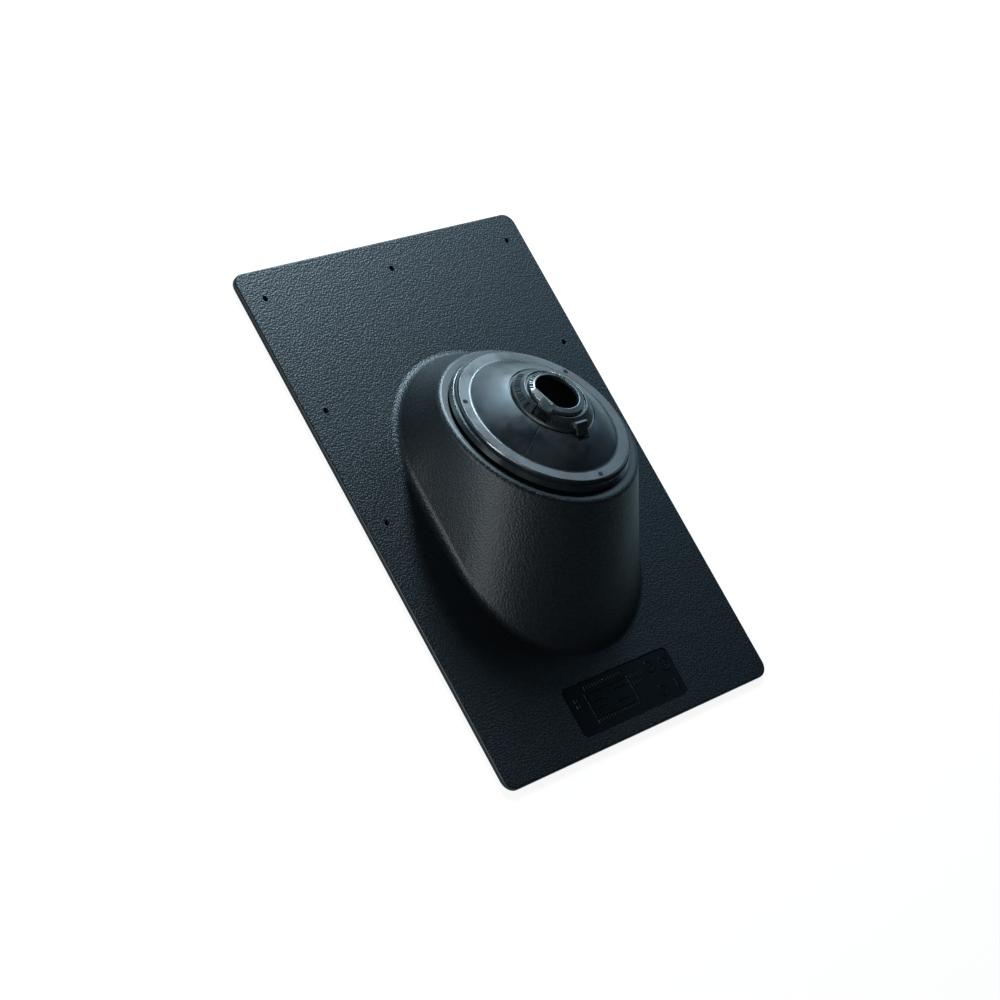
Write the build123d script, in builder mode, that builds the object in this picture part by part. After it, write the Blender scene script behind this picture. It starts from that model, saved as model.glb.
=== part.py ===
from build123d import *
import os
from math import atan2, cos, pi, radians, sin

# Roof pipe flashing: a moulded base plate that carries a hollow sloping dome,
# and a rubber collar that snaps over the dome's neck and seals round a pipe.
# Lengths are millimetres. The plate's underside lies on Z = 0, +Y points up
# the roof and the origin is under the middle of the plate.

# Base plate
plate_width = 235.0
plate_length = 330.0
plate_thickness = 3.0
plate_corner_radius = 8.0
plate_edge_round = 1.2

# Dome: its foot is a straight-sided slot, its shoulder a circle square to the pipe
roof_pitch = 18.4
dome_wall = 2.8
foot_radius = 71.0
foot_back_y = 14.8
foot_front_y = -44.0
foot_fillet = 5.0
shoulder_radius = 62.5
shoulder_centre_y = 15.65
shoulder_centre_z = 45.84
shoulder_fillet = 3.0

# Neck: a short upstand on the shoulder, with a lip that the collar hooks under
neck_bore_radius = 47.5
neck_wall = 3.0
neck_lip_reach = 1.9
neck_lip_height = 1.6
neck_lip_chamfer = 0.4

# Nail holes: a row of three along the top edge, and two more down each side
nail_hole_radius = 1.5
nail_hole_chamfer = 0.4
nail_column_x = 102.3
nail_row_top_y = 146.8
nail_row_middle_y = 72.9
nail_row_low_y = -0.2

# Bare recessed panel below the dome
panel_width = 94.0
panel_length = 31.0
panel_centre_y = -140.2
panel_corner_radius = 4.0
panel_depth = 0.5

# Collar: radii from the pipe's axis, heights above the flange's flat top
hole_radius = 13.4
crown_height = 18.85
crown_wall = 2.4
ring_one_radius = 17.2
ring_one_edge_height = 17.95
ring_two_inner_radius = 19.2
ring_two_inner_height = 16.9
ring_two_radius = 25.2
ring_two_edge_height = 12.4
cone_top_radius = 26.9
cone_top_height = 11.1
cone_bulge = 0.6
cone_foot_radius = 46.0
cone_foot_fillet = 2.5
groove_depth = 2.2
groove_side = 0.4
lip_round = 0.35
hole_lip_round = 0.6
tear_web = 1.0
underside_step = 0.5
flange_radius = 52.9
flange_thickness = 2.5
rim_radius = 56.9
rim_height = 5.5
rim_ridge_radius = 55.4
rim_ridge_drop = 2.7
rim_cove_depth = 0.4
rim_edge_round = 0.5
rim_gap = 1.5
snap_clearance = 0.2

# Pull tabs: each has a crest that stands on its ring for the fingertip, and a
# blade that slopes from the crest out over the tear groove and a pocket
tab_width = 9.8
tab_wall = 1.4
tab_corner_radius = 1.0
tab_one_angle = -157.0
tab_one_end_radius = 20.3
tab_two_angle = -91.0
tab_two_start_radius = 22.2
tab_two_end_radius = 28.0
tab_end_rise = 0.6
crest_height = 1.5
crest_width = 1.3
crest_one_angle = -173.0
crest_one_length = 14.0
pocket_one_reach = 7.0
pocket_two_reach = 5.4
pocket_side = 0.5

pitch = radians(roof_pitch)
shoulder_plane = Plane(
    origin=(0, shoulder_centre_y, shoulder_centre_z),
    x_dir=(1, 0, 0),
    z_dir=(0, sin(pitch), cos(pitch)),
)
flange_plane = shoulder_plane.offset(rim_gap + rim_height)
pipe_axis = Axis(flange_plane.origin, flange_plane.z_dir)


def radial_plane(angle):
    """Plane through the pipe's axis: X runs out from the axis, Y along it."""
    turn = radians(angle)
    outward = flange_plane.x_dir * cos(turn) + flange_plane.y_dir * sin(turn)
    return Plane(
        origin=flange_plane.origin,
        x_dir=outward,
        z_dir=outward.cross(flange_plane.z_dir),
    )


def ring_point(radius, angle):
    """Point at an angle on a circle, in a plane square to the pipe."""
    return (radius * cos(radians(angle)), radius * sin(radians(angle)))


def dome_form(foot, back_y, front_y, top_plane, top_radius, top_round=0):
    """Solid between a slot on the roof and a circle square to the pipe.

    Each stretch of the slot is joined to an arc of the circle by straight
    lines, and the arcs share out the circle as the stretches share the slot.
    """
    straight = back_y - front_y
    side_spread = 90 * straight / (straight + pi * foot)
    bend = foot * cos(pi / 4)
    with BuildLine(Plane.XY):
        slot = [
            ThreePointArc((0, back_y + foot), (bend, back_y + bend), (foot, back_y)),
            Line((foot, back_y), (foot, front_y)),
            ThreePointArc((foot, front_y), (bend, front_y - bend), (0, front_y - foot)),
            ThreePointArc((0, front_y - foot), (-bend, front_y - bend), (-foot, front_y)),
            Line((-foot, front_y), (-foot, back_y)),
            ThreePointArc((-foot, back_y), (-bend, back_y + bend), (0, back_y + foot)),
        ]
    turns = (90, side_spread, -side_spread, -90, side_spread - 180, -side_spread - 180, -270)
    with BuildLine(top_plane):
        circle = [
            ThreePointArc(
                ring_point(top_radius, start),
                ring_point(top_radius, (start + end) / 2),
                ring_point(top_radius, end),
            )
            for start, end in zip(turns, turns[1:])
        ]
    walls = [
        Face.make_surface_from_curves(low.edge(), high.edge())
        for low, high in zip(slot, circle)
    ]
    with BuildPart() as form:
        add(Solid(Shell(walls + [Face(Wire(slot)), Face(Wire(circle))])))
        if top_round:
            fillet(form.faces().sort_by(Axis.Z)[-1].edges(), top_round)
    return form.part


def pull_tab(angle, start, end, crest_angle, crest_length):
    """Blade from a ring's surface at start to its outer end, and the crest at start."""
    start_radius, start_height = start
    end_radius, end_height = end
    crest_top = start_height + crest_height
    with BuildPart() as tab:
        with BuildSketch(radial_plane(angle)):
            with BuildLine():
                Polyline(
                    (start_radius + crest_width, start_height),
                    (start_radius + crest_width, crest_top),
                    (end_radius, end_height + tab_end_rise),
                    (end_radius, end_height + tab_end_rise - tab_wall),
                    (start_radius + 2 * crest_width, start_height - tab_wall),
                    close=True,
                )
            make_face()
        extrude(amount=tab_width / 2 - pocket_side, both=True)
        outward = Axis(flange_plane.origin, radial_plane(angle).x_dir)
        end_face = tab.faces().sort_by(outward)[-1]
        fillet(end_face.edges().filter_by(pipe_axis), tab_corner_radius)
        with BuildSketch(radial_plane(crest_angle)):
            with BuildLine():
                Polyline(
                    (start_radius, start_height - tab_wall),
                    (start_radius, crest_top),
                    (start_radius + crest_width, crest_top),
                    (start_radius + 2 * crest_width, start_height - tab_wall),
                    close=True,
                )
            make_face()
        extrude(amount=crest_length / 2, both=True)
    return tab.part


# The wall is cut level with the roof, so there it measures its thickness over
# the sine of its slope at the sides, the back and the long front
shoulder_reach_y = shoulder_radius * cos(pitch)
shoulder_rise = shoulder_radius * sin(pitch)
side_slope = atan2(shoulder_centre_z, foot_radius - shoulder_radius)
back_slope = atan2(
    shoulder_centre_z - shoulder_rise,
    foot_back_y + foot_radius - shoulder_centre_y - shoulder_reach_y,
)
front_slope = atan2(
    shoulder_centre_z + shoulder_rise,
    shoulder_centre_y - shoulder_reach_y - foot_front_y + foot_radius,
)
cavity_foot = foot_radius - dome_wall / sin(side_slope)
cavity_back_y = foot_back_y + foot_radius - dome_wall / sin(back_slope) - cavity_foot
cavity_front_y = foot_front_y - foot_radius + dome_wall / sin(front_slope) + cavity_foot
cavity_top_radius = shoulder_radius - dome_wall / sin(side_slope) + dome_wall / 4

dome_body = dome_form(
    foot_radius,
    foot_back_y,
    foot_front_y,
    shoulder_plane,
    shoulder_radius,
    shoulder_fillet,
)
dome_cavity = dome_form(
    cavity_foot,
    cavity_back_y,
    cavity_front_y,
    shoulder_plane.offset(-dome_wall),
    cavity_top_radius,
)

neck_radius = neck_bore_radius + neck_wall
neck_lip_radius = neck_radius + neck_lip_reach
neck_height = rim_gap + rim_height - flange_thickness

# Base flashing: plate, dome and neck are one moulding, open underneath
with BuildPart() as base_flashing:
    with BuildSketch(Plane.XY):
        RectangleRounded(plate_width, plate_length, plate_corner_radius)
    extrude(amount=plate_thickness)
    plate_top = base_flashing.faces().sort_by(Axis.Z)[-1]
    fillet(plate_top.edges(), plate_edge_round)

    add(dome_body)
    plate_top = base_flashing.faces().filter_by(Plane.XY).sort_by(Axis.Z)[-1]
    fillet(plate_top.inner_wires().edges(), foot_fillet)

    # The neck stands on the shoulder and is turned about the pipe's axis
    with BuildSketch(radial_plane(0)):
        with BuildLine():
            neck_foot = -flange_thickness - neck_height
            lip_foot = -flange_thickness - neck_lip_height
            Polyline(
                (neck_bore_radius, neck_foot - dome_wall / 2),
                (neck_radius, neck_foot - dome_wall / 2),
                (neck_radius, lip_foot),
                (neck_lip_radius, lip_foot),
                (neck_lip_radius, -flange_thickness - neck_lip_chamfer),
                (neck_lip_radius - neck_lip_chamfer, -flange_thickness),
                (neck_bore_radius, -flange_thickness),
                close=True,
            )
        make_face()
    revolve(axis=pipe_axis)

    add(dome_cavity, mode=Mode.SUBTRACT)
    with BuildSketch(shoulder_plane):
        Circle(neck_bore_radius)
    extrude(amount=dome_wall, both=True, mode=Mode.SUBTRACT)

    with BuildSketch(Plane.XY.offset(plate_thickness)):
        with Locations((0, panel_centre_y)):
            RectangleRounded(panel_width, panel_length, panel_corner_radius)
    extrude(amount=-panel_depth, mode=Mode.SUBTRACT)

    with BuildSketch(Plane.XY):
        with Locations((0, nail_row_top_y)):
            Circle(nail_hole_radius)
        for row_y in (nail_row_top_y, nail_row_middle_y, nail_row_low_y):
            with Locations((-nail_column_x, row_y), (nail_column_x, row_y)):
                Circle(nail_hole_radius)
    extrude(amount=plate_thickness, mode=Mode.SUBTRACT)
    chamfer(base_flashing.edges(Select.LAST).group_by(Axis.Z)[-1], nail_hole_chamfer)

base_flashing.part.label = "base_flashing"

# Rubber collar: one moulding turned about the pipe's axis, with two tear rings
groove_one_floor = ring_one_edge_height - groove_depth
groove_two_floor = ring_two_edge_height - groove_depth
groove_one_middle = (ring_one_radius + ring_two_inner_radius) / 2
groove_two_middle = (ring_two_radius + cone_top_radius) / 2
ring_one_slope = (crown_height - ring_one_edge_height) / (ring_one_radius - hole_radius)
ring_two_slope = (groove_one_floor - groove_two_floor) / (
    groove_two_middle - groove_one_middle
)
ring_two_top_slope = (ring_two_inner_height - ring_two_edge_height) / (
    ring_two_radius - ring_two_inner_radius
)
tab_two_start_height = (
    ring_two_inner_height - (tab_two_start_radius - ring_two_inner_radius) * ring_two_top_slope
)
hook_radius = neck_radius + snap_clearance
hook_top = -flange_thickness - neck_lip_height - snap_clearance
hook_recess_radius = neck_lip_radius + snap_clearance

cone_middle = (
    (cone_top_radius + cone_foot_radius) / 2 + cone_bulge * 0.5,
    cone_top_height / 2 + cone_bulge,
)
underside_foot_radius = cone_foot_radius - underside_step
cone_slope = (groove_two_floor - tear_web + flange_thickness) / (
    underside_foot_radius - groove_two_middle
)
underside_middle = (
    (groove_two_middle + underside_foot_radius) / 2 + cone_bulge * 0.5,
    (groove_two_floor - tear_web - flange_thickness) / 2 + cone_bulge,
)
cove_middle = (
    (flange_radius + rim_ridge_radius) / 2 - rim_cove_depth,
    -rim_ridge_drop / 2 - rim_cove_depth,
)

with BuildPart() as rubber_collar:
    with BuildSketch(radial_plane(0)) as collar_section:
        with BuildLine():
            # Top side, from the hole out to the flange
            Polyline(
                (hole_radius, crown_height),
                (ring_one_radius, ring_one_edge_height),
                (ring_one_radius + groove_side, groove_one_floor),
                (ring_two_inner_radius - groove_side, groove_one_floor),
                (ring_two_inner_radius, ring_two_inner_height),
                (ring_two_radius, ring_two_edge_height),
                (ring_two_radius + groove_side, groove_two_floor),
                (cone_top_radius - groove_side, groove_two_floor),
                (cone_top_radius, cone_top_height),
            )
            ThreePointArc(
                (cone_top_radius, cone_top_height), cone_middle, (cone_foot_radius, 0)
            )
            # Flange and the stepped rim, with its hook round the neck's lip
            Line((cone_foot_radius, 0), (flange_radius, 0))
            ThreePointArc(
                (flange_radius, 0), cove_middle, (rim_ridge_radius, -rim_ridge_drop)
            )
            Polyline(
                (rim_ridge_radius, -rim_ridge_drop),
                (rim_radius, -rim_height + rim_edge_round),
                (rim_radius - rim_edge_round, -rim_height),
                (hook_radius, -rim_height),
                (hook_radius, hook_top),
                (hook_recess_radius, hook_top),
                (hook_recess_radius, -flange_thickness),
                (underside_foot_radius, -flange_thickness),
            )
            # Underside, back to the hole
            ThreePointArc(
                (underside_foot_radius, -flange_thickness),
                underside_middle,
                (groove_two_middle, groove_two_floor - tear_web),
            )
            Polyline(
                (groove_two_middle, groove_two_floor - tear_web),
                (groove_one_middle, groove_one_floor - tear_web),
                (hole_radius, crown_height - crown_wall),
                (hole_radius, crown_height),
            )
        make_face()
        for radius, height, corner_round in (
            (hole_radius, crown_height, hole_lip_round),
            (ring_one_radius, ring_one_edge_height, lip_round),
            (ring_two_inner_radius, ring_two_inner_height, lip_round),
            (ring_two_radius, ring_two_edge_height, lip_round),
            (cone_top_radius, cone_top_height, lip_round),
            (cone_foot_radius, 0, cone_foot_fillet),
            (flange_radius, 0, lip_round),
        ):
            corner = radial_plane(0).from_local_coords(Vector(radius, height))
            fillet(collar_section.vertices().sort_by_distance(corner)[0], corner_round)
    revolve(axis=pipe_axis)

    # Each pocket is cut down to the tear web, then the tab is laid over it
    for angle, edge_radius, floor, floor_slope, reach in (
        (tab_one_angle, ring_one_radius, groove_one_floor, ring_two_slope, pocket_one_reach),
        (tab_two_angle, ring_two_radius, groove_two_floor, cone_slope, pocket_two_reach),
    ):
        with BuildSketch(radial_plane(angle)):
            with BuildLine():
                Polyline(
                    (edge_radius, floor),
                    (edge_radius + pocket_side, floor),
                    (edge_radius + reach, floor - reach * floor_slope + pocket_side),
                    (edge_radius + reach, crown_height),
                    (edge_radius, crown_height),
                    close=True,
                )
            make_face()
        extrude(amount=tab_width / 2, both=True, mode=Mode.SUBTRACT)

    for tab in (
        pull_tab(
            tab_one_angle,
            (hole_radius, crown_height),
            (tab_one_end_radius, ring_one_edge_height - ring_one_slope),
            crest_one_angle,
            crest_one_length,
        ),
        pull_tab(
            tab_two_angle,
            (tab_two_start_radius, tab_two_start_height),
            (tab_two_end_radius, cone_top_height - cone_slope),
            tab_two_angle,
            tab_width,
        ),
    ):
        add(tab)

rubber_collar.part.label = "rubber_collar"

os.makedirs("parts", exist_ok=True)
export_step(base_flashing.part, "parts/base_flashing.step")
export_step(rubber_collar.part, "parts/rubber_collar.step")
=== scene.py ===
from math import cos, radians, sin

import bpy
from mathutils import Matrix, Vector


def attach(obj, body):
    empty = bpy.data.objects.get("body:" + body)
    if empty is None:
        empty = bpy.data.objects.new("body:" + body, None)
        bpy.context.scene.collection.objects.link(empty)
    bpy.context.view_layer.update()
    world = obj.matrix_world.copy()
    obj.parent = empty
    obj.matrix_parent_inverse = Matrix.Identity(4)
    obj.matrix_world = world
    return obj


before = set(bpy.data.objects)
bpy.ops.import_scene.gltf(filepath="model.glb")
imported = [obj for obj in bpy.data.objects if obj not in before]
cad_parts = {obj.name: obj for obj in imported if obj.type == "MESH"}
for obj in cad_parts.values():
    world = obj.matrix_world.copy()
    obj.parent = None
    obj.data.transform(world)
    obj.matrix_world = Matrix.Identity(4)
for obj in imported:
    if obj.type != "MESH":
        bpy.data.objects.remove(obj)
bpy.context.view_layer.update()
bpy.ops.object.select_all(action="DESELECT")

# The camera looks down on the plate from its lower left side and is rolled, so
# that the plate stands on one corner in the picture.
camera_place = Vector((-1.082, -0.267, 1.044))
camera_target = Vector((-0.0116, -0.0080, 0.0))
camera_roll = radians(51.65)
camera_focal_length = 94.0
camera_sensor_width = 36.0

bpy.ops.object.camera_add(location=camera_place)
camera = bpy.context.object
camera.name = "camera"
view_turn = (camera_target - camera_place).to_track_quat("-Z", "Y").to_matrix()
camera.rotation_euler = (view_turn @ Matrix.Rotation(camera_roll, 3, "Z")).to_euler()
camera.data.lens = camera_focal_length
camera.data.sensor_width = camera_sensor_width
bpy.context.scene.camera = camera

# Lamps: a tall narrow key up the slope to the right, which casts the dome's black
# shadow, weak panels round it, and low ones on the left that light the dome's
# side. The world looks white and gives next to no light.
lamp_target = Vector((0, 0, 0.03))
cool_light = (0.62, 0.85, 1.0)
back_light = (0.52, 0.78, 1.0)
right_light = (0.88, 0.96, 1.0)
front_light = (0.38, 0.70, 1.0)
side_light = (0.86, 0.95, 1.0)
low_light = (0.92, 0.98, 0.97)
backdrop_strength = 1.0
fill_light = (0.75, 0.87, 1.0)
fill_strength = 0.01


def add_panel_lamp(name, turn, rise, distance, width, height, power, colour):
    """A lamp turned from +X towards +Y and raised, in degrees, that faces the dome."""
    flat = distance * cos(radians(rise))
    place = Vector((flat * cos(radians(turn)), flat * sin(radians(turn)), distance * sin(radians(rise))))
    bpy.ops.object.light_add(type="AREA", location=place)
    lamp = bpy.context.object
    lamp.name = name
    lamp.data.shape = "RECTANGLE"
    lamp.data.size = width
    lamp.data.size_y = height
    lamp.data.energy = power
    lamp.data.color = colour
    lamp.rotation_euler = (lamp_target - place).to_track_quat("-Z", "Y").to_euler()


add_panel_lamp(
    "key_panel", turn=62, rise=34, distance=0.8, width=0.10, height=0.20, power=5.4, colour=cool_light
)
add_panel_lamp(
    "key_foot_panel", turn=62, rise=22, distance=0.8, width=0.10, height=0.20, power=2.4, colour=cool_light
)
add_panel_lamp(
    "back_panel", turn=88, rise=30, distance=0.8, width=0.16, height=0.16, power=0.7, colour=back_light
)
add_panel_lamp(
    "right_panel", turn=38, rise=28, distance=0.8, width=0.15, height=0.20, power=0.14, colour=right_light
)
add_panel_lamp(
    "front_panel", turn=20, rise=25, distance=0.9, width=0.40, height=0.30, power=0.48, colour=front_light
)
add_panel_lamp(
    "side_panel", turn=175, rise=11, distance=1.2, width=0.40, height=0.12, power=5.4, colour=side_light
)
add_panel_lamp(
    "low_left_panel", turn=-155, rise=9, distance=1.2, width=0.40, height=0.15, power=2.4, colour=low_light
)

world = bpy.data.worlds.new("studio")
bpy.context.scene.world = world
world.use_nodes = True
world_nodes = world.node_tree.nodes
world_links = world.node_tree.links
world_nodes.clear()
seen_white = world_nodes.new("ShaderNodeBackground")
seen_white.inputs["Color"].default_value = (1, 1, 1, 1)
seen_white.inputs["Strength"].default_value = backdrop_strength
soft_fill = world_nodes.new("ShaderNodeBackground")
soft_fill.inputs["Color"].default_value = (*fill_light, 1)
soft_fill.inputs["Strength"].default_value = fill_strength
ray_kind = world_nodes.new("ShaderNodeLightPath")
world_mix = world_nodes.new("ShaderNodeMixShader")
world_output = world_nodes.new("ShaderNodeOutputWorld")
world_links.new(ray_kind.outputs["Is Camera Ray"], world_mix.inputs["Fac"])
world_links.new(soft_fill.outputs["Background"], world_mix.inputs[1])
world_links.new(seen_white.outputs["Background"], world_mix.inputs[2])
world_links.new(world_mix.outputs["Shader"], world_output.inputs["Surface"])
bpy.context.scene.view_settings.view_transform = "Standard"

# Floor: a wide sheet under the plate that looks white and keeps a soft shadow.
# To all rays but the camera's it also glows: painted light that stands in for the
# key lamp's light on the floor and throws light back on the dome's sides, most of
# it from beyond the plate's upper end. It's dark where the plate covers it, and
# the painted glow is nearly off there.
floor_size = 6.0
floor_drop = 0.0005
paper_colour = (0.34, 0.28, 0.25)
paper_roughness = 0.9
covered_half_width = 0.1135
covered_half_length = 0.161
paper_lift_strength = 0.90
glow_colour = (0.50, 0.85, 0.95)
glow_start_y, glow_full_y = 0.10, 0.40
glow_low_strength, glow_full_strength = 0.38, 1.1
glow_covered_strength = 0.02


def new_material(name, colour, roughness):
    """A material with plain colour and roughness; gives it, its tree and its shader."""
    material = bpy.data.materials.new(name)
    material.use_nodes = True
    shader = material.node_tree.nodes["Principled BSDF"]
    shader.inputs["Base Color"].default_value = (*colour, 1)
    shader.inputs["Roughness"].default_value = roughness
    return material, material.node_tree, shader


def feed(tree, value, socket):
    """Sets a socket to a number or vector, or joins it to another node's output."""
    if isinstance(value, bpy.types.NodeSocket):
        tree.links.new(value, socket)
    else:
        socket.default_value = value


def calc(tree, operation, first, second=0.0):
    """Math node on two numbers or outputs."""
    node = tree.nodes.new("ShaderNodeMath")
    node.operation = operation
    feed(tree, first, node.inputs[0])
    feed(tree, second, node.inputs[1])
    return node.outputs["Value"]


def vector_calc(tree, operation, first, second, output="Vector"):
    """Vector Math node on two vectors or outputs."""
    node = tree.nodes.new("ShaderNodeVectorMath")
    node.operation = operation
    feed(tree, first, node.inputs[0])
    feed(tree, second, node.inputs[1])
    return node.outputs[output]


def split(tree, vector):
    """The X, Y and Z outputs of a vector."""
    node = tree.nodes.new("ShaderNodeSeparateXYZ")
    tree.links.new(vector, node.inputs["Vector"])
    return node.outputs


def ramp(tree, value, low, high, out_low, out_high):
    """Smooth change from out_low to out_high as the value goes from low to high."""
    node = tree.nodes.new("ShaderNodeMapRange")
    node.interpolation_type = "SMOOTHSTEP"
    feed(tree, value, node.inputs["Value"])
    node.inputs["From Min"].default_value = low
    node.inputs["From Max"].default_value = high
    node.inputs["To Min"].default_value = out_low
    node.inputs["To Max"].default_value = out_high
    return node.outputs["Result"]


bpy.ops.mesh.primitive_plane_add(size=floor_size, location=(0, 0, -floor_drop))
floor = bpy.context.object
floor.name = "floor"
floor_paper, tree, shader = new_material("floor_paper", paper_colour, paper_roughness)
shader.inputs["Specular IOR Level"].default_value = 0.0
floor_place = split(tree, tree.nodes.new("ShaderNodeTexCoord").outputs["Object"])
past_side = calc(tree, "SUBTRACT", calc(tree, "ABSOLUTE", floor_place["X"]), covered_half_width)
past_end = calc(tree, "SUBTRACT", calc(tree, "ABSOLUTE", floor_place["Y"]), covered_half_length)
uncovered = calc(tree, "GREATER_THAN", calc(tree, "MAXIMUM", past_side, past_end), 0.0)
paper_lift = tree.nodes.new("ShaderNodeEmission")
feed(tree, calc(tree, "MULTIPLY", uncovered, paper_lift_strength), paper_lift.inputs["Strength"])
# Painted light: the glow grows towards the plate's upper end, nearest the key lamp.
painted_key_light_pool = ramp(tree, floor_place["Y"], glow_start_y, glow_full_y, glow_low_strength, glow_full_strength)
glow_strength = calc(tree, "ADD", calc(tree, "MULTIPLY", uncovered, painted_key_light_pool), glow_covered_strength)
painted_floor_light = tree.nodes.new("ShaderNodeEmission")
painted_floor_light.inputs["Color"].default_value = (*glow_colour, 1)
feed(tree, glow_strength, painted_floor_light.inputs["Strength"])
paper_ray = tree.nodes.new("ShaderNodeLightPath")
paper_seen = tree.nodes.new("ShaderNodeMixShader")
paper_sum = tree.nodes.new("ShaderNodeAddShader")
tree.links.new(paper_ray.outputs["Is Camera Ray"], paper_seen.inputs["Fac"])
tree.links.new(painted_floor_light.outputs["Emission"], paper_seen.inputs[1])
tree.links.new(paper_lift.outputs["Emission"], paper_seen.inputs[2])
tree.links.new(shader.outputs["BSDF"], paper_sum.inputs[0])
tree.links.new(paper_seen.outputs["Shader"], paper_sum.inputs[1])
tree.links.new(paper_sum.outputs["Shader"], tree.nodes["Material Output"].inputs["Surface"])
floor.data.materials.append(floor_paper)

# Base flashing: plate, dome, shoulder and neck are one thin injection moulding in
# black thermoplastic. The mould gives its outside a fine pebble grain; the panel,
# the shoulder round the collar, the edges and the underside come out smooth.
flange_centre = Vector((0, 0.01786, 0.05248))
roof_pitch = radians(18.4)
pipe_direction = Vector((0, sin(roof_pitch), cos(roof_pitch)))
base_colour = (0.010, 0.013, 0.016)
base_roughness = 0.45
plate_top_z = 0.0030
plate_top_fade = (0.00008, 0.00002)
side_facing_fade = (-0.05, 0.0)
shoulder_smooth_radius = 0.0614
shoulder_radius_fade = (0.0004, 0.0006)
shoulder_smooth_drop = -0.0078
shoulder_drop_fade = 0.0004
pebble_size = 0.00125
pebble_height = 0.00016
pebble_shift = 0.0003
pebble_merge = 0.3
pebble_top_distance, pebble_foot_distance = 0.1, 0.75
wander_scale = 0.7 / pebble_size
steep_facing, level_facing = 0.3, 0.9
steep_grain_share = 0.6
# Pebble tops are tinted lighter than their feet and the smooth parts: painted light on the grain's tops,
# painted shade in its hollows.
grain_foot_colour = (0.007, 0.0095, 0.012)
painted_pebble_top_light = (0.013, 0.017, 0.021)
grain_roughness = 0.46
shoulder_roughness = 0.42
edge_facing, flat_facing = 0.96, 0.99
edge_roughness, flat_roughness = 0.42, 0.24


def raise_surface(tree, shader, height, distance):
    """Bump of a height from 0 to 1 that stands so far out, into the shader's normal."""
    node = tree.nodes.new("ShaderNodeBump")
    node.inputs["Distance"].default_value = distance
    tree.links.new(height, node.inputs["Height"])
    tree.links.new(node.outputs["Normal"], shader.inputs["Normal"])


def tint(tree, amount, dark, light, socket):
    """Colour between dark and light by amount, into a socket."""
    node = tree.nodes.new("ShaderNodeMix")
    node.data_type = "RGBA"
    feed(tree, amount, node.inputs["Factor"])
    node.inputs["A"].default_value = (*dark, 1)
    node.inputs["B"].default_value = (*light, 1)
    tree.links.new(node.outputs["Result"], socket)


def dress(piece, material):
    """Gives a piece its material."""
    piece.data.materials.clear()
    piece.data.materials.append(material)


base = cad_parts["base_flashing"]
base_plastic, tree, shader = new_material("base_plastic", base_colour, base_roughness)
coordinates = tree.nodes.new("ShaderNodeTexCoord")
place = coordinates.outputs["Object"]
height_up = split(tree, place)["Z"]
facing_up = split(tree, coordinates.outputs["Normal"])["Z"]
from_collar = vector_calc(tree, "SUBTRACT", place, tuple(flange_centre))
drop = vector_calc(tree, "DOT_PRODUCT", from_collar, tuple(pipe_direction), "Value")
off_axis = vector_calc(tree, "CROSS_PRODUCT", from_collar, tuple(pipe_direction))
from_axis = vector_calc(tree, "LENGTH", off_axis, (0, 0, 0), "Value")
within_radius = ramp(
    tree,
    from_axis,
    shoulder_smooth_radius - shoulder_radius_fade[0],
    shoulder_smooth_radius + shoulder_radius_fade[1],
    1,
    0,
)
above_drop = ramp(tree, drop, shoulder_smooth_drop - shoulder_drop_fade, shoulder_smooth_drop, 0, 1)
on_shoulder = calc(tree, "MULTIPLY", within_radius, above_drop)
above_panel = ramp(tree, height_up, plate_top_z - plate_top_fade[0], plate_top_z - plate_top_fade[1], 0, 1)
outside = calc(tree, "MULTIPLY", above_panel, ramp(tree, facing_up, *side_facing_fade, 0, 1))
grained = calc(tree, "MULTIPLY", outside, calc(tree, "SUBTRACT", 1.0, on_shoulder))
wander = tree.nodes.new("ShaderNodeTexNoise")
wander.inputs["Scale"].default_value = wander_scale
wander.inputs["Detail"].default_value = 1.0
tree.links.new(place, wander.inputs["Vector"])
shifted = tree.nodes.new("ShaderNodeVectorMath")
shifted.operation = "MULTIPLY_ADD"
tree.links.new(wander.outputs["Color"], shifted.inputs[0])
shifted.inputs[1].default_value = (pebble_shift, pebble_shift, pebble_shift)
tree.links.new(place, shifted.inputs[2])
pebbles = tree.nodes.new("ShaderNodeTexVoronoi")
pebbles.feature = "SMOOTH_F1"
pebbles.inputs["Scale"].default_value = 1 / pebble_size
pebbles.inputs["Smoothness"].default_value = pebble_merge
tree.links.new(shifted.outputs["Vector"], pebbles.inputs["Vector"])
pebble_tops = ramp(tree, pebbles.outputs["Distance"], pebble_top_distance, pebble_foot_distance, 1, 0)
grain = calc(tree, "MULTIPLY", pebble_tops, grained)
grain_share = ramp(tree, facing_up, steep_facing, level_facing, steep_grain_share, 1)
raise_surface(tree, shader, calc(tree, "MULTIPLY", grain, grain_share), pebble_height)
# Painted light and shade: lighter colour on the pebbles' tops, darker at their feet.
tint(tree, grain, grain_foot_colour, painted_pebble_top_light, shader.inputs["Base Color"])
plain_roughness = calc(
    tree,
    "MAXIMUM",
    ramp(tree, facing_up, edge_facing, flat_facing, edge_roughness, flat_roughness),
    calc(tree, "MULTIPLY", on_shoulder, shoulder_roughness),
)
smooth_part = calc(tree, "MULTIPLY", plain_roughness, calc(tree, "SUBTRACT", 1.0, grained))
grained_part = calc(tree, "MULTIPLY", grained, grain_roughness)
feed(tree, calc(tree, "ADD", smooth_part, grained_part), shader.inputs["Roughness"])
dress(base, base_plastic)

# Panel marks: the recessed panel below the dome carries plain raised marks, which
# are part of the base moulding: a frame with rules in it, rows of short bars, and
# rings. Each stands on the panel's floor; the bars and rules have tapered sides,
# the rings straight ones.
panel_floor_z = 0.0025
mark_height = 0.0004
mark_sink = 0.0001
mark_taper = (0.75, 0.9)
bar_size = (0.0009, 0.0020)
bar_row_pitch = 0.0024
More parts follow.
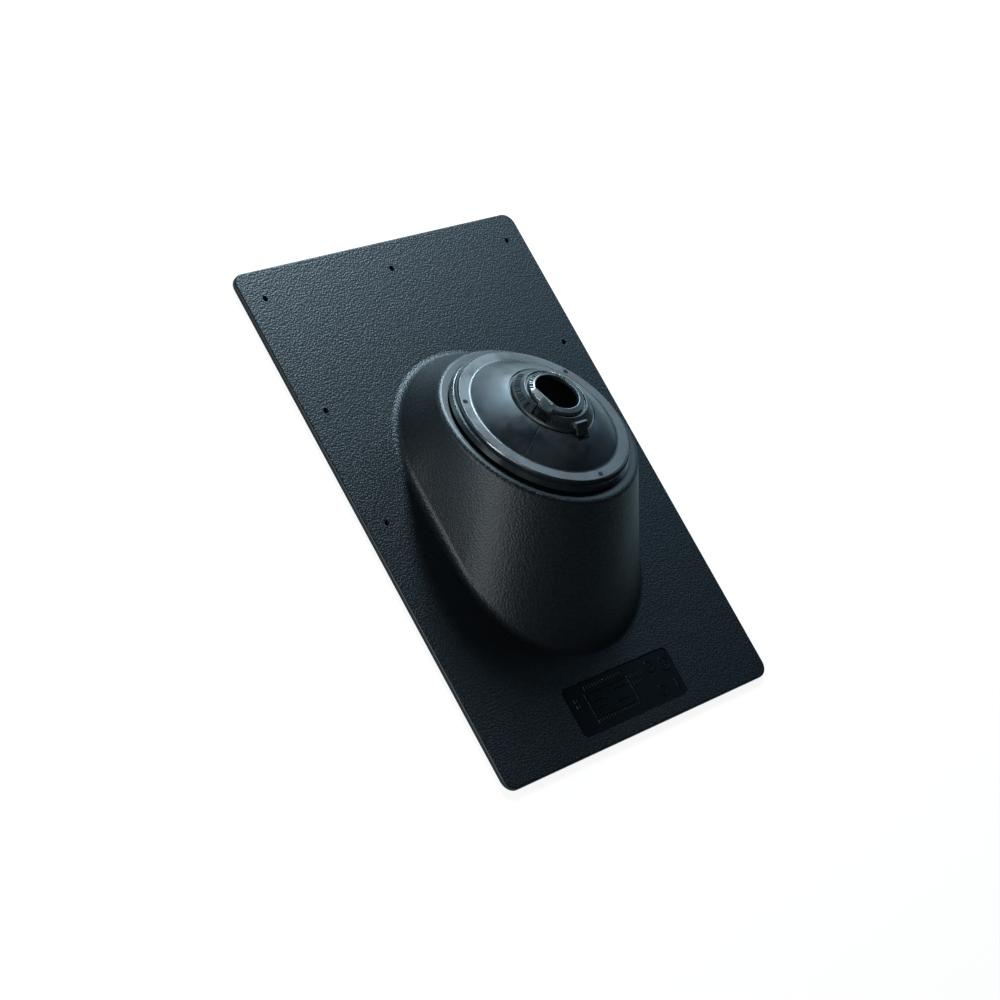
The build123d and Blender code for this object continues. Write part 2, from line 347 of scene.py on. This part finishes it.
# each row of bars: x of the first and of the last, and y
bar_rows = (
    (-0.0285, 0.0030, -0.1290),
    (-0.0305, 0.0065, -0.1495),
    (0.0095, 0.0195, -0.1333),
    (0.0095, 0.0170, -0.1378),
    (-0.0405, -0.0375, -0.1340),
    (-0.0405, -0.0375, -0.1375),
)
frame_middle = Vector((-0.0122, -0.1398))
frame_size = (0.0375, 0.0150)
rule_width = 0.0006
# each rule in the frame: x and y of its middle, and its length
frame_rules = (
    (-0.0225, -0.1377, 0.0130),
    (-0.0025, -0.1357, 0.0150),
    (-0.0045, -0.1430, 0.0125),
    (-0.0225, -0.1420, 0.0100),
)
# each upright rule at the panel's right end: x and y of its middle, and its length
end_rules = ((0.0412, -0.1477, 0.0060), (0.0425, -0.1487, 0.0040))
ring_corners = 32
ring_inner_share = 0.72
# each ring: x and y of its middle, and its radius
rings = ((0.0278, -0.1320, 0.0038), (0.0405, -0.1338, 0.0046), (0.0284, -0.1478, 0.0034))


def raised_bar(name):
    """Bar one metre long and wide and as high as a mark, to be sized by its place."""
    bpy.ops.mesh.primitive_plane_add(size=1, location=(0, 0, -mark_sink))
    bar = bpy.context.object
    bar.name = name
    bpy.ops.object.transform_apply(location=True)
    bpy.ops.object.mode_set(mode="EDIT")
    bpy.ops.mesh.select_all(action="SELECT")
    bpy.ops.mesh.extrude_region_move(TRANSFORM_OT_translate={"value": (0, 0, mark_height + mark_sink)})
    bpy.ops.transform.resize(value=(*mark_taper, 1))
    bpy.ops.mesh.select_all(action="SELECT")
    bpy.ops.mesh.normals_make_consistent(inside=False)
    bpy.ops.object.mode_set(mode="OBJECT")
    return bar


def raised_ring(name, inner_share):
    """Ring of one metre radius and as high as a mark, to be sized by its place."""
    bpy.ops.mesh.primitive_circle_add(
        vertices=ring_corners, radius=1, fill_type="NGON", location=(0, 0, -mark_sink)
    )
    ring = bpy.context.object
    ring.name = name
    bpy.ops.object.transform_apply(location=True)
    bpy.ops.object.mode_set(mode="EDIT")
    bpy.ops.mesh.select_all(action="SELECT")
    bpy.ops.mesh.inset(thickness=1 - inner_share)
    bpy.ops.mesh.delete(type="FACE")
    bpy.ops.mesh.select_all(action="SELECT")
    bpy.ops.mesh.extrude_region_move(TRANSFORM_OT_translate={"value": (0, 0, mark_height + mark_sink)})
    bpy.ops.mesh.select_all(action="SELECT")
    bpy.ops.mesh.normals_make_consistent(inside=False)
    bpy.ops.object.mode_set(mode="OBJECT")
    return ring


def put_copy(model, place):
    """Copy of a model with a mesh of its own, moved and sized by a matrix."""
    twin = model.copy()
    twin.data = model.data.copy()
    twin.data.transform(place)
    bpy.context.collection.objects.link(twin)
    return twin


def join_pieces(name, pieces):
    """One piece out of several."""
    bpy.ops.object.select_all(action="DESELECT")
    for piece in pieces:
        piece.select_set(True)
    bpy.context.view_layer.objects.active = pieces[0]
    bpy.ops.object.join()
    joined = bpy.context.object
    joined.name = name
    joined.select_set(False)
    return joined


def on_panel(model, x, y, width, length):
    """Copy of a mark's model, of that size, on the panel's floor."""
    middle = Matrix.Translation((x, y, panel_floor_z))
    return put_copy(model, middle @ Matrix.Diagonal((width, length, 1, 1)))


bar = raised_bar("mark_bar")
ring = raised_ring("mark_ring", ring_inner_share)
marks = []
for first_x, last_x, y in bar_rows:
    gaps = round((last_x - first_x) / bar_row_pitch)
    marks += [on_panel(bar, first_x + bar_row_pitch * step, y, *bar_size) for step in range(gaps + 1)]
for side in (-0.5, 0.5):
    upright_x = frame_middle.x + side * frame_size[0]
    level_y = frame_middle.y + side * frame_size[1]
    marks.append(on_panel(bar, upright_x, frame_middle.y, rule_width, frame_size[1] + rule_width))
    marks.append(on_panel(bar, frame_middle.x, level_y, frame_size[0] + rule_width, rule_width))
for x, y, length in frame_rules:
    marks.append(on_panel(bar, x, y, length, rule_width))
for x, y, length in end_rules:
    marks.append(on_panel(bar, x, y, rule_width, length))
for x, y, radius in rings:
    marks.append(on_panel(ring, x, y, radius, radius))
    marks.append(on_panel(bar, x, y, radius, rule_width))
    marks.append(on_panel(bar, x, y, rule_width, radius))
panel_marks = join_pieces("panel_marks", marks)
dress(panel_marks, base_plastic)
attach(panel_marks, "root")

# Rubber collar: one moulding in satin black rubber, with two tear rings and a pull
# tab on each. It snaps over the dome's neck and hooks under the neck's lip. Fine
# creases run down its cone where the rubber met in the mould.
collar_colour = (0.011, 0.014, 0.017)
collar_roughness = 0.40
collar_specular = 1.0
haze_dark_colour = (0.009, 0.012, 0.015)
haze_light_colour = (0.015, 0.019, 0.023)
haze_scale, haze_detail, haze_roughness = 48.0, 3.5, 0.6
haze_low, haze_high = 0.35, 0.65
glossy_roughness, hazy_roughness = 0.27, 0.46
rim_start_radius = 0.0528
rim_fade = 0.0005
rim_roughness_share = 0.75
swell_scale, swell_detail, swell_roughness = 34.0, 2.0, 0.5
swell_height = 0.0005
# each crease: its bearing in degrees, and its distances from the pipe's axis
creases = ((-150, 0.0270, 0.0455), (-30, 0.0340, 0.0450), (100, 0.0300, 0.0460))
crease_width = 0.0004
crease_fade = (0.4, 1.4)
crease_end_fade = 0.002
crease_depth_share = 0.25
across_roof = Vector((1, 0, 0))
up_roof = pipe_direction.cross(across_roof)


def outward(angle):
    """Direction square to the pipe, turned from +X towards the roof's top."""
    return across_roof * cos(radians(angle)) + up_roof * sin(radians(angle))


def cloud(tree, place, scale, detail, roughness):
    """Noise over the surface, from 0 to 1."""
    node = tree.nodes.new("ShaderNodeTexNoise")
    tree.links.new(place, node.inputs["Vector"])
    node.inputs["Scale"].default_value = scale
    node.inputs["Detail"].default_value = detail
    node.inputs["Roughness"].default_value = roughness
    return node.outputs["Fac"]


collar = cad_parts["rubber_collar"]
collar_rubber, tree, shader = new_material("collar_rubber", collar_colour, collar_roughness)
shader.inputs["Specular IOR Level"].default_value = collar_specular
place = tree.nodes.new("ShaderNodeTexCoord").outputs["Object"]
from_collar = vector_calc(tree, "SUBTRACT", place, tuple(flange_centre))
creased = 0.0
for angle, first_radius, last_radius in creases:
    sideways = vector_calc(tree, "DOT_PRODUCT", from_collar, tuple(outward(angle + 90)), "Value")
    along = vector_calc(tree, "DOT_PRODUCT", from_collar, tuple(outward(angle)), "Value")
    beside = calc(tree, "ABSOLUTE", sideways)
    line = ramp(tree, beside, crease_width * crease_fade[0], crease_width * crease_fade[1], 1, 0)
    begun = ramp(tree, along, first_radius, first_radius + crease_end_fade, 0, 1)
    ended = ramp(tree, along, last_radius - crease_end_fade, last_radius, 1, 0)
    line = calc(tree, "MULTIPLY", calc(tree, "MULTIPLY", line, begun), ended)
    creased = calc(tree, "MAXIMUM", creased, line)
off_axis = vector_calc(tree, "CROSS_PRODUCT", from_collar, tuple(pipe_direction))
from_axis = vector_calc(tree, "LENGTH", off_axis, (0, 0, 0), "Value")
haze = cloud(tree, place, haze_scale, haze_detail, haze_roughness)
hazed = ramp(tree, haze, haze_low, haze_high, glossy_roughness, hazy_roughness)
rim_share = ramp(tree, from_axis, rim_start_radius, rim_start_radius + rim_fade, 1, rim_roughness_share)
feed(tree, calc(tree, "MULTIPLY", hazed, rim_share), shader.inputs["Roughness"])
swell = cloud(tree, place, swell_scale, swell_detail, swell_roughness)
swell = calc(tree, "SUBTRACT", swell, calc(tree, "MULTIPLY", creased, crease_depth_share))
raise_surface(tree, shader, swell, swell_height)
tint(tree, haze, haze_dark_colour, haze_light_colour, shader.inputs["Base Color"])
dress(collar, collar_rubber)

# Collar marks: plain raised bars round both tear rings and down the cone, and the
# rings' numbers. They're part of the rubber moulding, follow its slopes and come
# out of the mould duller than the rubber round them. Their darker colour is
# painted shade.
mark_painted_shade_colour = (0.006, 0.007, 0.008)
mark_roughness = 0.75
mark_specular = 0.25
ring_mark_size = (0.0009, 0.0021)
ring_mark_widths = (1.0, 2.4, 1.0, 1.7)
ring_mark_lift = 1.3
# each tear ring's surface: radius, height over the flange's centre, and slope
ring_one = (0.0160, 0.01824, 0.237)
ring_two = (0.0228, 0.01420, 0.750)
ring_one_angles = range(150, 22, -8)
ring_two_upper_angles = range(108, 172, 6)
ring_two_lower_angles = range(-160, -108, 6)
ring_two_upper_stretch = 1.7
cone_slope = 0.58
cone_top_radius = 0.0269
cone_top_height = 0.0111
cone_mark_angle = -84
cone_mark_start = 0.0290
cone_mark_pitch = 0.0024
cone_mark_count = 5
cone_mark_stretch = 1.2
cone_mark_rise = 0.0002
numeral_size = 0.0050
numeral_one_share = 0.5
numeral_one_angle = 160
numeral_two_angle = 178
numeral_curve_steps = 3


def on_collar(model, radius, height, slope, angle, width, length):
    """Copy of a model, of that size, on a collar surface that falls outwards."""
    out = outward(angle)
    down = (out - pipe_direction * slope).normalized()
    side = down.cross(pipe_direction).normalized()
    turned = Matrix((side, -down, side.cross(-down))).transposed().to_4x4()
    middle = flange_centre + out * radius + pipe_direction * height
    sized = Matrix.Diagonal((width, length, ring_mark_lift, 1))
    return put_copy(model, Matrix.Translation(middle) @ turned @ sized)


def ring_bars(ring_surface, angles, stretch=1.0):
    """Bars of changing width round a tear ring."""
    width, length = ring_mark_size
    bars = []
    for step, angle in enumerate(angles):
        bar_width = width * ring_mark_widths[step % len(ring_mark_widths)]
        bars.append(on_collar(bar, *ring_surface, angle, bar_width, length * stretch))
    return bars


def raised_numeral(name, body):
    """Numeral one metre high and as thick as a mark."""
    bpy.ops.object.text_add(location=(0, 0, 0))
    text = bpy.context.object
    text.data.body = body
    text.data.align_x = "CENTER"
    text.data.align_y = "CENTER"
    text.data.resolution_u = numeral_curve_steps
    text.data.extrude = mark_height
    bpy.ops.object.convert(target="MESH")
    numeral = bpy.context.object
    numeral.name = name
    return numeral


marks = ring_bars(ring_one, ring_one_angles)
marks += ring_bars(ring_two, ring_two_upper_angles, ring_two_upper_stretch)
marks += ring_bars(ring_two, ring_two_lower_angles)
cone_bar_width, cone_bar_length = ring_mark_size[1], ring_mark_size[0] * cone_mark_stretch
for step in range(cone_mark_count):
    radius = cone_mark_start + cone_mark_pitch * step
    height = cone_top_height - (radius - cone_top_radius) * cone_slope + cone_mark_rise
    cone_spot = (radius, height, cone_slope, cone_mark_angle)
    marks.append(on_collar(bar, *cone_spot, cone_bar_width, cone_bar_length))
numeral_one = raised_numeral("numeral_one", "1")
numeral_two = raised_numeral("numeral_two", "2")
small_size = numeral_size * numeral_one_share
marks.append(on_collar(numeral_one, *ring_one, numeral_one_angle, small_size, small_size))
marks.append(on_collar(numeral_two, *ring_two, numeral_two_angle, numeral_size, numeral_size))
# Dull rubber for the marks and nibs; its colour, darker than the collar's, is painted shade.
dull_rubber_painted_shade, tree, shader = new_material("dull_rubber_painted_shade", mark_painted_shade_colour, mark_roughness)
shader.inputs["Specular IOR Level"].default_value = mark_specular
collar_marks = join_pieces("collar_marks", marks)
dress(collar_marks, dull_rubber_painted_shade)
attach(collar_marks, "root")

# Gate nibs: three small torn ends of rubber on the flange, where the rubber was fed
# into the mould. Each narrows to a leaning tip with a dent in it, and is part of
# the collar's moulding.
nib_ring_radius = 0.0500
nib_angles = (150, -90, 30)
nib_corners = 14
nib_radius = 0.0016
nib_height = 0.0007
nib_waist_taper = (0.7, 0.55)
nib_tip_taper = (0.7, 0.9)
nib_lean = nib_radius * 0.3
nib_dent_inset = nib_radius * 0.12
nib_dent_depth = nib_height * 0.4

bpy.ops.mesh.primitive_circle_add(
    vertices=nib_corners, radius=nib_radius, fill_type="NGON", location=(0, 0, -mark_sink)
)
nib = bpy.context.object
bpy.ops.object.transform_apply(location=True)
bpy.ops.object.mode_set(mode="EDIT")
bpy.ops.mesh.select_all(action="SELECT")
bpy.ops.mesh.extrude_region_move(TRANSFORM_OT_translate={"value": (0, 0, nib_height / 2)})
bpy.ops.transform.resize(value=(*nib_waist_taper, 1))
bpy.ops.mesh.extrude_region_move(TRANSFORM_OT_translate={"value": (nib_lean, 0, nib_height / 2)})
bpy.ops.transform.resize(value=(*nib_tip_taper, 1))
bpy.ops.mesh.inset(thickness=nib_dent_inset)
bpy.ops.transform.translate(value=(0, 0, -nib_dent_depth))
bpy.ops.mesh.select_all(action="SELECT")
bpy.ops.mesh.normals_make_consistent(inside=False)
bpy.ops.object.mode_set(mode="OBJECT")
nibs = [on_collar(nib, nib_ring_radius, 0, 0, angle, 1, 1) for angle in nib_angles]
gate_nibs = join_pieces("gate_nibs", nibs)
# The nibs take the marks' darker rubber: painted shade.
dress(gate_nibs, dull_rubber_painted_shade)
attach(gate_nibs, "root")
for model in (bar, ring, nib, numeral_one, numeral_two):
    bpy.data.objects.remove(model)
